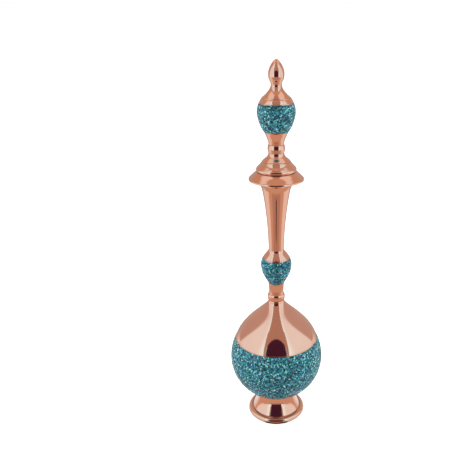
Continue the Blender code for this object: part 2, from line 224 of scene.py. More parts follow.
class StudioLook(bpy.types.PropertyGroup):
    """Camera, lamps and the panels that the metal mirrors."""

    camera_place: FloatVectorProperty(
        name="Camera", description="Place of the camera", default=(0.0, -0.600, 0.457), unit="LENGTH"
    )
    camera_tilt: angle("Camera tilt", "Tilt of the camera from straight down", 69.28)
    lens: number("Lens", "Focal length in millimetres", 48.8)
    shift: number("Shift", "Sideways shift of the picture", -0.1132)
    lamp_power: number("Lamp power", "Power of each side lamp", 13.0, unit="POWER")
    top_power: number("Top power", "Power of the lamp overhead", 5.0, unit="POWER")
    fill: number("Fill", "Strength of the light from all round", 0.40)
    white: colour("Panel", "Light of the white panels", (0.90, 0.97, 1.06))
    glare: colour("Glare", "Light of the panels' inner edges", (0.95, 1.38, 1.55))
    warm: colour("Warm", "Warm tone of the table round the carafe", (0.66, 0.41, 0.30))
    roof: colour("Roof", "Tone of the roof over the panels", (0.62, 0.37, 0.25))
    overhead: colour("Overhead", "Light patches on the roof over the carafe", (0.90, 0.78, 0.76))
    side: colour("Sides", "Tone of the tent beside the panels", (0.57, 0.42, 0.39))
    strip_tone: colour("Strip", "Tone of the strip between the panels", (0.48, 0.29, 0.235))
    dark: colour("Opening", "Tone of the dark opening round the camera", (0.056, 0.016, 0.040))
    back: colour("Back", "Tone of the tent's back", (0.52, 0.44, 0.40))


SETTINGS = {
    "carafe_sheet": SheetSizes,
    "carafe_body": BodySizes,
    "carafe_mouth": MouthSizes,
    "carafe_stopper": StopperSizes,
    "carafe_stone": StoneSizes,
    "carafe_copper": CopperLook,
    "carafe_studio": StudioLook,
}


# Outlines and sections


def cubic(start, end, form):
    """A curve between two points, whose form gives its handles as shares of width and height."""
    start, end = Vector(start), Vector(end)
    across = end - start
    out = start + Vector((across.x * form[0], across.y * form[1]))
    back = end - Vector((across.x * form[2], across.y * form[3]))

    def at(t):
        s = 1.0 - t
        return start * s**3 + out * (3.0 * s * s * t) + back * (3.0 * s * t * t) + end * t**3

    return at


def through(points, forms):
    """Curves from each point to the next one, each with its form."""
    return [cubic(low, high, form) for low, high, form in zip(points, points[1:], forms)]


def oval(base_radius, height, reach, half_height, low, top):
    """An upright oval's side between two angles, reaching out from a base radius."""

    def at(t):
        turn = low + (top - low) * t
        return Vector((base_radius + reach * math.cos(turn), height + half_height * math.sin(turn)))

    return at


def bead(base_radius, radius, low, high):
    """A half-round bead between two heights."""
    middle, half_height, quarter = (low + high) / 2.0, (high - low) / 2.0, math.pi / 2.0
    return oval(base_radius, middle, radius - base_radius, half_height, -quarter, quarter)


class Outline:
    """The outer side of a turned shape, followed upwards and measured by the length along it."""

    def __init__(self, *curves):
        self.curves = curves
        self.lengths = [0.0]
        last = curves[0](0.0)
        for curve in curves:
            for step in range(1, FINE_STEPS + 1):
                point = curve(step / FINE_STEPS)
                self.lengths.append(self.lengths[-1] + (point - last).length)
                last = point
        self.joints = self.lengths[FINE_STEPS:-1:FINE_STEPS]
        self.end = self.lengths[-1]

    def point(self, length):
        length = min(max(length, 0.0), self.end)
        step = min(max(bisect.bisect_left(self.lengths, length), 1), len(self.lengths) - 1)
        stretch = self.lengths[step] - self.lengths[step - 1]
        along = step - 1 + (length - self.lengths[step - 1]) / stretch
        place = min(int(along // FINE_STEPS), len(self.curves) - 1)
        return self.curves[place](along / FINE_STEPS - place)

    def way(self, length):
        """The outline's direction, upwards."""
        return (self.point(length + 4.0 * WELD) - self.point(length - 4.0 * WELD)).normalized()

    def skin(self, length, depth=0.0):
        """The point that lies a depth inside the outline."""
        way = self.way(length)
        return self.point(length) - Vector((way.y, -way.x)) * depth

    def run(self, lengths, depth=0.0):
        return [self.skin(length, depth) for length in lengths]

    def rings(self, first=0.0, last=None):
        """Lengths from first to last, closer together where the outline bends, and at joints."""
        last = self.end if last is None else last
        inner = [joint for joint in self.joints if first + WELD < joint < last - WELD]
        close = [joint + shift for joint in inner for shift in (-BESIDE_JOINT, BESIDE_JOINT)]
        found = [first]
        for low, high in zip([first] + inner, inner + [last]):
            steps = even(low, high, FINE_STEPS)
            ways = [self.way((a + b) / 2.0) for a, b in zip(steps, steps[1:])]
            turns = [0.0] + [a.angle(b, 0.0) for a, b in zip(ways, ways[1:])]
            effort, least = [0.0], (high - low) / FINE_STEPS / LONGEST_RING
            for turn in turns:
                effort.append(effort[-1] + turn / TURN_PER_RING + least)
            count = max(2, math.ceil(effort[-1]))
            for ring in range(1, count):
                due = effort[-1] * ring / count
                step = bisect.bisect_left(effort, due)
                part = (due - effort[step - 1]) / (effort[step] - effort[step - 1])
                found.append(steps[step - 1] + (steps[step] - steps[step - 1]) * part)
            found.append(high)
        return sorted(found + [length for length in close if first + WELD < length < last - WELD])

    def length_at(self, height):
        """The length along the outline at which it reaches a height."""
        low, high = 0.0, self.end
        for step in range(1, len(self.lengths)):
            if self.point(self.lengths[step]).y >= height > self.point(self.lengths[step - 1]).y:
                low, high = self.lengths[step - 1], self.lengths[step]
                break
        while high - low > WELD / 10.0:
            middle = (low + high) / 2.0
            low, high = (middle, high) if self.point(middle).y < height else (low, middle)
        return (low + high) / 2.0


def even(first, last, count):
    """The lengths that part a stretch into equal ones, with both its ends."""
    return [first + (last - first) * step / count for step in range(count + 1)]


def at_height(points, shift):
    """Points of a section, given from a height that they are moved up to."""
    return [Vector((radius, height + shift)) for radius, height in points]


def shell(outline, lengths, wall):
    """A sheet's section: up its outer side and down its inner side."""
    return outline.run(lengths) + outline.run(lengths, wall)[::-1]


def spigot_down(radius, bore, seat, height):
    """A piece's lower end: the spigot, and the seat's edge that goes down into the solder."""
    sheet = bpy.context.scene.carafe_sheet
    length, film = sheet.spigot, sheet.film
    return at_height([(bore, -length), (radius, -length), (radius, -film), (seat, -film)], height)


def spigot_up(radius, bore, height):
    length = bpy.context.scene.carafe_sheet.spigot
    return at_height([(radius, 0.0), (radius, length), (bore, length)], height)


# Modelling


def deselect_all():
    if bpy.context.mode != "OBJECT":
        bpy.ops.object.mode_set(mode="OBJECT")
    bpy.ops.object.select_all(action="DESELECT")


def draw_run(points):
    """Draw a run of points edge by edge and weld it. It is left selected, in edit mode."""
    deselect_all()
    bpy.ops.mesh.primitive_plane_add(size=0.001, location=points[0])
    drawn = bpy.context.active_object
    bpy.ops.object.transform_apply(location=True, rotation=False, scale=False)
    bpy.ops.object.mode_set(mode="EDIT")
    bpy.ops.mesh.select_all(action="SELECT")
    bpy.ops.mesh.merge(type="CENTER")
    for low, high in zip(points, points[1:]):
        move = tuple(there - here for here, there in zip(low, high))
        bpy.ops.mesh.extrude_vertices_move(TRANSFORM_OT_translate={"value": move})
    bpy.ops.mesh.select_all(action="SELECT")
    bpy.ops.mesh.remove_doubles(threshold=WELD)
    return drawn


def turned(node, section, body, creases=()):
    """Draw a section and spin it about the Z axis, then round its cut edges."""
    sheet = bpy.context.scene.carafe_sheet
    closing = section[:1] if section[0].x > WELD else []
    piece = draw_run([(point.x, 0.0, point.y) for point in section + closing])
    piece.name = piece.data.name = f"{node}_polished"
    bpy.ops.mesh.spin(
        steps=SPIN_STEPS,
        angle=FULL_TURN,
        center=(0.0, 0.0, 0.0),
        axis=(0.0, 0.0, 1.0),
        use_auto_merge=True,
    )
    bpy.ops.mesh.select_all(action="SELECT")
    bpy.ops.mesh.remove_doubles(threshold=WELD)
    bpy.ops.mesh.normals_make_consistent(inside=False)
    bpy.ops.object.mode_set(mode="OBJECT")
    rounding = piece.modifiers.new("Rounded edges", "BEVEL")
    rounding.width = sheet.edge
    rounding.segments = 2
    rounding.limit_method = "ANGLE"
    rounding.angle_limit = CUT_ANGLE
    bpy.ops.object.modifier_apply(modifier=rounding.name)
    bpy.ops.object.shade_smooth_by_angle(angle=SMOOTH_ANGLE)
    paint_seam_and_crease_shade(piece, section, creases)
    finish_piece(piece, "copper", body, node)


def paint_seam_and_crease_shade(piece, section, creases):
    """Record how near each point is to the piece's lowest and highest edge and to its creases: the
    copper is darkened there, as solder and polish where pieces join, and as painted shade in the
    creases, at the foot's standing edge and at the finial's tip.
    """
    low, high = min(point.y for point in section), max(point.y for point in section)
    layer = piece.data.attributes.new("seam", "FLOAT", "POINT")
    for vertex, value in zip(piece.data.vertices, layer.data):
        nearest = min(vertex.co.z - low, high - vertex.co.z)
        value.value = math.exp(-((nearest / SEAM_WIDTH) ** 2))
        for crease in creases:
            # Painted shade in the crease.
            crease_shade = CREASE_SHADE_DEPTH * math.exp(-(((vertex.co.z - crease) / CREASE_SHADE_WIDTH) ** 2))
            value.value = max(value.value, crease_shade)


def finish_piece(piece, finish, body, node):
    piece.data.materials.clear()
    piece.data.materials.append(copper() if finish == "copper" else turquoise())
    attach(piece, body)
    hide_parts(node)


# Crushed stone

ROW_PITCH = math.sqrt(0.75)  # from one row of chips to the next, in pitches
BEYOND_EDGE = 2.0  # how far the rows go on past a band's edges, in pitches
REPEATED = 6.0  # how far the chips are repeated past both ends of the chart, in pitches
BACK_STEPS = 72  # sides of a band's smooth back
BACK_RINGS = 3  # takes one in so many of the outline's rings
ON_EDGE = 1e-6  # how near a corner lies to a band's edge to be on it
CHIP_BRIGHTNESS = (0.42, 1.60)  # least and most, against the chip's colour
CHIP_TINT = (0.92, 1.08)  # the same for red, green and blue apart
CHIP_SUNK = 0.3  # how deep the lowest chips lie, in groove depths
CHIP_TOP = (0.30, 0.90)  # least and most share of a chip that its flat top takes
RESIN_SPREAD = 1.15  # how much wider the resin is at a chip's corners than at its sides
RIM_SHADE = 0.55  # a chip's rim against its top: painted shade on its sides that slope down into the resin


class Chart:
    """A flat chart of a turned surface that keeps its shapes: angle across, and height upwards."""

    STEPS = 400

    def __init__(self, outline, first, last):
        self.outline = outline
        self.lengths = even(first, last, self.STEPS)
        self.points = outline.run(self.lengths)
        self.ways = [outline.way(length) for length in self.lengths]
        self.ups = [0.0]
        for low, high in zip(self.points, self.points[1:]):
            self.ups.append(self.ups[-1] + (high - low).length * 2.0 / (low.x + high.x))
        self.top = self.ups[-1]

    def place(self, up):
        """The outline's step at a height of the chart, and the share of the way to it."""
        step = min(max(bisect.bisect_left(self.ups, up), 1), self.STEPS)
        part = (up - self.ups[step - 1]) / (self.ups[step] - self.ups[step - 1])
        return step, min(max(part, 0.0), 1.0)

    def radius(self, up):
        step, part = self.place(up)
        return self.points[step - 1].lerp(self.points[step], part).x

    def solid(self, turn, up, depth):
        """The point in space of a chart point, at a depth under the surface."""
        step, part = self.place(up)
        point = self.points[step - 1].lerp(self.points[step], part)
        way = self.ways[step - 1].lerp(self.ways[step], part)
        radius, height = point.x - way.y * depth, point.y + way.x * depth
        return (radius * math.cos(turn), radius * math.sin(turn), height)


STONE_COLOURS = (  # share of the chips, and their colour
    (0.19, (0.060, 0.385, 0.465)),
    (0.17, (0.015, 0.225, 0.300)),
    (0.21, (0.004, 0.080, 0.120)),
    (0.10, (0.016, 0.240, 0.215)),
    (0.12, (0.240, 0.640, 0.700)),
    (0.06, (0.060, 0.180, 0.350)),
    (0.12, (0.002, 0.022, 0.034)),
    (0.02, (0.520, 0.760, 0.780)),
    (0.01, (0.110, 0.110, 0.200)),
)


def scatter_sites(chart, stone, spacing, draw):
    """The middles of the chips, in shaken rows, repeated past both ends of the chart."""
    sites = []
    up = -BEYOND_EDGE * spacing / chart.radius(0.0)
    while up < chart.top + BEYOND_EDGE * spacing / chart.radius(chart.top):
        pitch = spacing / chart.radius(up)
        count = round(FULL_TURN / pitch)
        phase = draw.random()
        for place in range(count):
            if draw.random() < stone.missing:
                continue
            aside, above = (draw.uniform(-stone.scatter, stone.scatter) for _ in range(2))
            turn = FULL_TURN * (place + phase + aside) / count
            sites.append(Vector((turn % FULL_TURN, up + above * pitch)))
        up += ROW_PITCH * pitch
    margin = REPEATED * spacing / min(chart.radius(0.0), chart.radius(chart.top))
    over = [site + Vector((FULL_TURN, 0.0)) for site in sites if site.x < margin]
    under = [site - Vector((FULL_TURN, 0.0)) for site in sites if site.x > FULL_TURN - margin]
    return sites + over + under


def circumcentre(a, b, c):
    ab, ac = b - a, c - a
    double = 2.0 * ab.cross(ac)
    if abs(double) < 1e-14:
        return (a + b + c) / 3.0
    across = (ac.y * ab.length_squared - ab.y * ac.length_squared) / double
    up = (ab.x * ac.length_squared - ac.x * ab.length_squared) / double
    return a + Vector((across, up))


def cells(chart, sites):
    """Each chip's outline: what lies nearest to its middle, cut at the band's edges."""
    points, _, triangles, *_ = delaunay_2d_cdt(sites, [], [], 0, 1e-9)
    centres = [circumcentre(*(points[corner] for corner in triangle)) for triangle in triangles]
    around = [[] for _ in points]
    for centre, triangle in zip(centres, triangles):
        for corner in triangle:
            around[corner].append(centre)
    for site, corners in zip(points, around):
        if not 0.0 <= site.x < FULL_TURN or len(corners) < 3:
            continue
        corners.sort(key=lambda corner: math.atan2(corner.y - site.y, corner.x - site.x))
        cut = [Vector((corner.x, min(max(corner.y, 0.0), chart.top))) for corner in corners]
        if max(corner.y for corner in cut) - min(corner.y for corner in cut) > ON_EDGE:
            yield cut


def zip_rings(low, high):
    """Triangles between two rings of (turn, index), each sorted by its turn."""
    faces = []
    a = b = 0
    while a < len(low) or b < len(high):
        next_low = low[(a + 1) % len(low)][0] + FULL_TURN * ((a + 1) // len(low))
        next_high = high[(b + 1) % len(high)][0] + FULL_TURN * ((b + 1) // len(high))
        this_low, this_high = low[a % len(low)][1], high[b % len(high)][1]
        if b >= len(high) or (a < len(low) and next_low <= next_high):
            faces.append((this_low, low[(a + 1) % len(low)][1], this_high))
            a += 1
        else:
            faces.append((this_low, high[(b + 1) % len(high)][1], this_high))
            b += 1
    return faces


def band_back(outline, first, last, depth, start):
    """The points of a band's smooth back, and its rings of (turn, index) counted from a start."""
    rows = outline.rings(first, last)[::BACK_RINGS]
    rows = rows if rows[-1] == last else rows + [last]
    turns = even(0.0, FULL_TURN, BACK_STEPS)[:-1]
    points, rings = [], []
    for length in rows:
        point = outline.skin(length, depth)
        rings.append([(turn, start + len(points) + step) for step, turn in enumerate(turns)])
        points += [(point.x * math.cos(turn), point.x * math.sin(turn), point.y) for turn in turns]
    return points, rings


def closed_mesh(name, vertices, faces, colours):
    """A piece made of points and faces, with a colour for every corner of a face."""
    mesh = bpy.data.meshes.new(name)
    mesh.from_pydata(vertices, [], faces)
    layer = mesh.color_attributes.new("stone", "FLOAT_COLOR", "CORNER")
    layer.data.foreach_set("color", [part for corner in colours for part in corner])
    piece = bpy.data.objects.new(name, mesh)
    bpy.context.scene.collection.objects.link(piece)
    deselect_all()
    piece.select_set(True)
    bpy.context.view_layer.objects.active = piece
    bpy.ops.object.mode_set(mode="EDIT")
    bpy.ops.mesh.select_all(action="SELECT")
    bpy.ops.mesh.remove_doubles(threshold=FINE_WELD)
    bpy.ops.mesh.dissolve_degenerate(threshold=FINE_WELD)
    bpy.ops.mesh.normals_make_consistent(inside=False)
    bpy.ops.object.mode_set(mode="OBJECT")
    return piece


def stone_band(node, outline, first, last, body, spacing):
    """A band of turquoise chips in resin, on a smooth back."""
    stone = bpy.context.scene.carafe_stone
    inlay = bpy.context.scene.carafe_sheet.inlay
    draw = random.Random(f"{node}{stone.seed}")
    chart = Chart(outline, first, last)
    resin = (*stone.resin, 1.0)
    weights = [weight for weight, _ in STONE_COLOURS]
    vertices, faces, corners = [], [], []
    edge_low, edge_top = {}, {}
    known = {}

    def groove(corner):
        turn = corner.x % FULL_TURN
        key = (round(turn * 1e6) % round(FULL_TURN * 1e6), round(corner.y * 1e6))
        if key not in known:
            known[key] = len(vertices)
            vertices.append(chart.solid(turn, corner.y, stone.groove))
            if corner.y < ON_EDGE:
                edge_low[known[key]] = turn
            elif corner.y > chart.top - ON_EDGE:
                edge_top[known[key]] = turn
        return known[key]

    for cell in cells(chart, scatter_sites(chart, stone, spacing, draw)):
        middle = sum(cell, Vector((0.0, 0.0))) / len(cell)
        radius = chart.radius(middle.y)
        spread = sum((corner - middle).length for corner in cell) / len(cell) * radius
        keep = min(max(1.0 - RESIN_SPREAD * stone.resin_line / spread, CHIP_TOP[0]), CHIP_TOP[1])
        _, base = draw.choices(STONE_COLOURS, weights)[0]
        level = draw.uniform(*CHIP_BRIGHTNESS)
        tint = tuple(min(part * level * draw.uniform(*CHIP_TINT), 1.0) for part in base) + (1.0,)
        # Painted shade on the chip's sloping sides, darkening down into the resin.
        rim = tuple(part * RIM_SHADE for part in tint[:3]) + (1.0,)
        lean = Vector((draw.uniform(-1.0, 1.0), draw.uniform(-1.0, 1.0))) * stone.tilt
        sunk = draw.uniform(0.0, CHIP_SUNK) * stone.groove
        bottom = [groove(corner) for corner in cell]
        top = []
        for corner in cell:
            inset = middle + (corner - middle) * keep
            depth = sunk + lean.dot(inset - middle) * radius
            top.append(len(vertices))
            vertices.append(chart.solid(inset.x, inset.y, depth))
        faces.append(tuple(top))
        corners += [tint] * len(top)
        for this in range(len(cell)):
            that = (this + 1) % len(cell)
            if bottom[this] != bottom[that]:
                faces.append((bottom[this], bottom[that], top[that], top[this]))
                corners += [resin, resin, rim, rim]
            else:
                faces.append((bottom[this], top[that], top[this]))
                corners += [resin, rim, rim]
    points, back = band_back(outline, first, last, inlay, len(vertices))
    vertices += points
    walls = zip_rings(back[0], sorted((turn, index) for index, turn in edge_low.items()))
    walls += zip_rings(sorted((turn, index) for index, turn in edge_top.items()), back[-1])
    for low, high in zip(back, back[1:]):
        for step in range(BACK_STEPS):
            after = (step + 1) % BACK_STEPS
            walls.append((low[after][1], low[step][1], high[step][1], high[after][1]))
    for wall in walls:
        corners += [resin] * len(wall)
    finish_piece(closed_mesh(node, vertices, faces + walls, corners), "turquoise", body, node)


def inlay_band(name, outline, low, top, body, spacing):
    """The turquoise between its two border strips. Gives the cup below its lengths."""
    sheet = bpy.context.scene.carafe_sheet
    for place, start in (("lower", low), ("upper", top - sheet.strip)):
        node = f"{name}_strip_{place}"
        turned(node, shell(outline, outline.rings(start, start + sheet.strip), sheet.inlay), body)
    first, last = low + sheet.strip + sheet.gap, top - sheet.strip - sheet.gap
    stone_band(f"{name}_turquoise", outline, first, last, body, spacing)
    return [low] + outline.rings(first, last) + [top]


def cup(name, base, outline, band, top, body):
    """The cup that carries a band flush on a ledge, and reaches up inside the cap above it."""
    sheet = bpy.context.scene.carafe_sheet
    lengths = band + [top + sheet.lap - sheet.gap]
    depth = sheet.inlay + sheet.gap
    ledge = outline.skin(0.0, depth) - outline.way(0.0) * (sheet.gap - sheet.film)
    outer = base.run(base.rings()) + [ledge] + outline.run(lengths, depth)
    inner = base.run(base.rings(), sheet.wall)[:-1] + outline.run(lengths, depth + sheet.wall)
    outer[0].y = inner[0].y = outer[0].y - sheet.film
    turned(name, outer + inner[::-1], body)


def vessel(name, outline, foot, foot_form, body, step=0.0):
    """A small inlaid cup on its own foot, with its band and the cap over it."""
    sheet, chips = bpy.context.scene.carafe_sheet, bpy.context.scene.carafe_stone
    top = outline.length_at(top_of(f"{name}_strip_upper"))
    ledge = outline.skin(0.0) - outline.way(0.0) * (sheet.gap - sheet.film)
    base = Outline(cubic(foot, ledge, foot_form))
    band = inlay_band(name, outline, 0.0, top, body, chips.fine_pitch)
    cup(f"{name}_cup", base, outline, band, top, body)
    cap(f"{name}_cap", outline, top, body, step)


def cap(name, outline, top, body, step=0.0):
    """The shell that laps over a cup's rim and goes on, flush, to the outline's end."""
    sheet = bpy.context.scene.carafe_sheet
    lengths = [top + sheet.gap - sheet.film] + outline.rings(top + sheet.lap)
    outer = outline.run(lengths)
    # Height of the crease that painted shade darkens.
    creases = [outline.point(outline.joints[-1]).y + step / 2.0] if step else []
    if step:
        crease = outline.joints[-1]
        for point, length in zip(outer, lengths):
            if length >= crease:
                point.y += step * math.exp((crease - length) / STEP_FADE)
        outer.insert(lengths.index(crease), outline.skin(crease))
    turned(name, outer + outline.run(lengths, sheet.inlay)[::-1], body, creases)


# Materials


class Nodes:
    """Adds nodes to a shader tree and links them."""

    def __init__(self, tree):
        self.tree = tree

    def add(self, kind, inputs=(), **settings):
        made = self.tree.nodes.new(kind)
        for name, value in settings.items():
            setattr(made, name, value)
        for name, value in dict(inputs).items():
            self.put(made.inputs[name], value)
        return made

    def put(self, socket, value):
        if isinstance(value, bpy.types.NodeSocket):
            self.tree.links.new(value, socket)
        else:
            socket.default_value = value

    def maths(self, operation, *values):
        made = self.add("ShaderNodeMath", operation=operation)
        for socket, value in zip(made.inputs, values):
            self.put(socket, value)
        return made.outputs[0]

    def smooth(self, value, low, high, start=0.0, end=1.0):
        """Goes smoothly from start to end as a value goes from low to high."""
        made = self.add("ShaderNodeMapRange", interpolation_type="SMOOTHSTEP")
        names = ("Value", "From Min", "From Max", "To Min", "To Max")
        for name, given in zip(names, (value, low, high, start, end)):
            self.put(made.inputs[name], given)
        return made.outputs[0]

    def times(self, *values):
        return self.maths("MULTIPLY", *values)

    def within(self, value, rise, fall):
        """Goes from none to one over a first stretch of a value, and back over a second one."""
        return self.times(self.smooth(value, *rise), self.smooth(value, *fall, 1.0, 0.0))

    def length(self, across, along):
        """How far a point of a plane lies from its middle."""
        flat = self.add("ShaderNodeCombineXYZ", {"X": across, "Y": along}).outputs[0]
        return self.add("ShaderNodeVectorMath", {0: flat}, operation="LENGTH").outputs["Value"]

    def mix(self, factor, first, second):
        made = self.add("ShaderNodeMix", data_type="RGBA")
        colours = [socket for socket in made.inputs if socket.type == "RGBA"]
        self.put(made.inputs[0], factor)
        for socket, value in zip(colours, (first, second)):
            linked = isinstance(value, bpy.types.NodeSocket)
            self.put(socket, value if linked else (*value[:3], 1.0))
        return next(socket for socket in made.outputs if socket.type == "RGBA")

    def noise(self, place, scale, detail=2.0, roughness=0.5):
        inputs = {"Vector": place, "Scale": scale, "Detail": detail, "Roughness": roughness}
        return self.add("ShaderNodeTexNoise", inputs).outputs[0]


def new_material(name):
    made = bpy.data.materials.new(name)
    made.use_nodes = True
    return made, Nodes(made.node_tree), made.node_tree.nodes["Principled BSDF"]


HAZE_SCALE = 26.0  # of the soft tarnish
HAZE_RANGE = (0.35, 0.85)
TARNISHED = 0.38  # share of tarnish in the most tarnished places
HAZE_ROUGHNESS = 0.05
LATHE_SCALE = 1500.0  # of the faint rings from the lathe
LATHE_ROUND = 0.0008  # how little they change along their way round
LATHE_ROUGHNESS = 0.02
LATHE_DEPTH = 0.00002
LATHE_STRENGTH = 0.06
JOIN_AND_CREASE_SHADE_SHARE = 0.28  # share of the dark colour at the joins, which also paints the shade in creases
SEAM_ROUGHNESS = 0.12


def copper():
    """Polished copper: soft tarnish, faint rings from the lathe, darker seams, and painted shade in
    its creases.
    """
    if "polished_copper" in bpy.data.materials:
        return bpy.data.materials["polished_copper"]
    look = bpy.context.scene.carafe_copper
    made, nodes, shader = new_material("polished_copper")
    place = nodes.add("ShaderNodeTexCoord").outputs["Object"]
    split = nodes.add("ShaderNodeSeparateXYZ", {"Vector": place}).outputs
    radius = nodes.length(split["X"], split["Y"])
    turn = nodes.times(nodes.maths("ARCTAN2", split["Y"], split["X"]), LATHE_ROUND)
    lathe = nodes.add("ShaderNodeCombineXYZ", {"X": radius, "Y": split["Z"], "Z": turn}).outputs[0]
    haze = nodes.noise(place, HAZE_SCALE, 3.0)
    rings = nodes.noise(lathe, LATHE_SCALE)
    tarnished = nodes.mix(nodes.smooth(haze, *HAZE_RANGE, 0.0, TARNISHED), look.metal, look.tarnish)
    # Darker at the joins with solder and polish, and painted shade in creases, at the foot's
    # standing edge and at the finial's tip.
    seam = nodes.add("ShaderNodeAttribute", attribute_name="seam").outputs["Fac"]
    coloured = nodes.mix(nodes.times(seam, JOIN_AND_CREASE_SHADE_SHARE), tarnished, look.seam)
    nodes.put(shader.inputs["Base Color"], coloured)
    worn = nodes.maths("MULTIPLY_ADD", haze, HAZE_ROUGHNESS, look.roughness - HAZE_ROUGHNESS / 2.0)
    dulled = nodes.maths("MULTIPLY_ADD", seam, SEAM_ROUGHNESS, worn)
    roughness = nodes.maths("MULTIPLY_ADD", rings, LATHE_ROUGHNESS, dulled)
    nodes.put(shader.inputs["Roughness"], roughness)
    shader.inputs["Metallic"].default_value = 1.0
    inputs = {"Height": rings, "Strength": LATHE_STRENGTH, "Distance": LATHE_DEPTH}
    nodes.put(shader.inputs["Normal"], nodes.add("ShaderNodeBump", inputs).outputs[0])
    made.diffuse_color = (*look.metal, 1.0)
    return made


CLOUD_SCALE = 1300.0  # of the pale clouds in a chip
CLOUD_RANGE = (0.3, 0.7)
CLOUDED = 0.08  # share of the clouds' colour where they are palest
CLOUD_COLOUR = (0.30, 0.56, 0.60)
VEIN_SCALE = 900.0  # of the dark matrix between the clouds
VEIN_WIDTH = 0.10
VEIN_RANGE = (0.45, 0.60)  # clouds in which the veins come up
VEINED = 0.55  # share of the matrix's colour in the middle of a vein
VEIN_COLOUR = (0.012, 0.030, 0.034)
STONE_ROUGHNESS = (0.2, 0.8, 0.16, 0.30)  # two values of the clouds, and the roughness at each
STONE_IOR = 1.55
STONE_GLOSS = 0.24


def turquoise():
    """Polished stone chips in dark resin, each with its own tint and a little dark matrix."""
    if "crushed_turquoise" in bpy.data.materials:
        return bpy.data.materials["crushed_turquoise"]
    made, nodes, shader = new_material("crushed_turquoise")
    place = nodes.add("ShaderNodeTexCoord").outputs["Object"]
    stone = nodes.add("ShaderNodeAttribute", attribute_name="stone").outputs["Color"]
    cloud = nodes.noise(place, CLOUD_SCALE, 3.0, 0.6)
    inputs = {"Vector": place, "Scale": VEIN_SCALE}
    vein = nodes.add("ShaderNodeTexVoronoi", inputs, feature="DISTANCE_TO_EDGE").outputs[0]
    clouded = nodes.mix(nodes.smooth(cloud, *CLOUD_RANGE, 0.0, CLOUDED), stone, CLOUD_COLOUR)
    veined = nodes.smooth(vein, 0.0, VEIN_WIDTH, VEINED, 0.0)
    matrix = nodes.times(veined, nodes.smooth(cloud, *VEIN_RANGE))
    nodes.put(shader.inputs["Base Color"], nodes.mix(matrix, clouded, VEIN_COLOUR))
    nodes.put(shader.inputs["Roughness"], nodes.smooth(cloud, *STONE_ROUGHNESS))
    shader.inputs["IOR"].default_value = STONE_IOR
    shader.inputs["Specular IOR Level"].default_value = STONE_GLOSS
    made.diffuse_color = (0.06, 0.25, 0.30, 1.0)
    return made


# The pieces


class CARAFE_OT_foot(bpy.types.Operator):
    """The hollow spun foot with its rolled rim"""

    bl_idname = "carafe.foot"
    bl_label = "Foot"

    def execute(self, context):
        sizes, sheet = context.scene.carafe_body, context.scene.carafe_sheet
        points = [(sizes.foot_stand, 0.0), (sizes.foot_radius, sizes.foot_widest)]
        points += [(sizes.foot_crease, sizes.foot_rim), (sizes.foot_neck, sizes.foot_height)]
        outline = Outline(*through(points, FOOT_FORMS))
        bore = sizes.foot_neck - sheet.wall
        seat = Vector((bore, belly_height() - bowl_drop(bore) - sheet.gap))
        stand = sizes.foot_stand - sizes.foot_stand_width
        section = outline.run(outline.rings()) + [seat]
        section += outline.run(outline.rings()[1:-1], sheet.wall)[::-1]
        section += [Vector((stand, sheet.wall)), Vector((stand, 0.0))]
        turned("foot", section, "carafe", [sizes.foot_rim])
        return {"FINISHED"}


def belly_height():
    """Height of the belly's widest place."""
    sizes = bpy.context.scene.carafe_body
    return top_of("belly_strip_upper") - sizes.belly_top * math.sin(sizes.band_top)


def bowl_drop(radius):
    """How far the bowl's outer side lies below the belly's middle at a radius."""
    sizes, sheet = bpy.context.scene.carafe_body, bpy.context.scene.carafe_sheet
    depth = sheet.inlay + sheet.gap
    return (sizes.belly_low - depth) * math.sqrt(1.0 - (radius / (sizes.belly_radius - depth)) ** 2)


class CARAFE_OT_belly(bpy.types.Operator):
    """The bowl, its turquoise with the two border strips, and the shoulder"""

    bl_idname = "carafe.belly"
    bl_label = "Belly and shoulder"

    def execute(self, context):
        sizes, sheet = context.scene.carafe_body, context.scene.carafe_sheet
        middle = belly_height()
        lower = oval(0.0, middle, sizes.belly_radius, sizes.belly_low, -math.pi / 2.0, 0.0)
        upper = oval(0.0, middle, sizes.belly_radius, sizes.belly_top, 0.0, sizes.band_top)
        shoulder = cubic(upper(1.0), (sizes.shoulder_top, top_of("belly_shoulder")), SHOULDER_FORM)
        outline = Outline(lower, upper, shoulder)
        low = outline.length_at(low_of("belly_strip_lower"))
        top = outline.joints[1]
        band = inlay_band("belly", outline, low, top, "carafe", context.scene.carafe_stone.pitch)
        depth = sheet.inlay + sheet.gap
        lengths = outline.rings(0.0, low)[:-1] + band + [top + sheet.lap - sheet.gap]
        section = outline.run(lengths, depth) + outline.run(lengths, depth + sheet.wall)[::-1]
        section[0].x = section[-1].x = 0.0
        turned("belly_bowl", section, "carafe")
        cap("belly_shoulder", outline, top, "carafe")
        return {"FINISHED"}


class CARAFE_OT_collar(bpy.types.Operator):
    """The turned bead between the shoulder and the neck bulb"""

    bl_idname = "carafe.collar"
    bl_label = "Collar bead"

    def execute(self, context):
        sizes, sheet = context.scene.carafe_body, context.scene.carafe_sheet
        height = low_of("neck_collar") + sheet.spigot
        top = top_of("neck_collar") - sheet.spigot
        groove = height + sizes.collar_base
        bead_top = groove + sizes.collar_bead
        ball = Outline(bead(sizes.collar_groove, reach_of("neck_collar"), groove, bead_top))
        spigot = sizes.shoulder_top - sheet.inlay - sheet.gap
        section = spigot_down(spigot, sizes.bore, sizes.shoulder_top, height)
        section += ball.run(ball.rings())
        section.append(Vector((sizes.stem, top)))
        section += spigot_up(sizes.stem - sheet.wall - sheet.gap, sizes.bore, top)
        turned("neck_collar", section, "carafe")
        return {"FINISHED"}


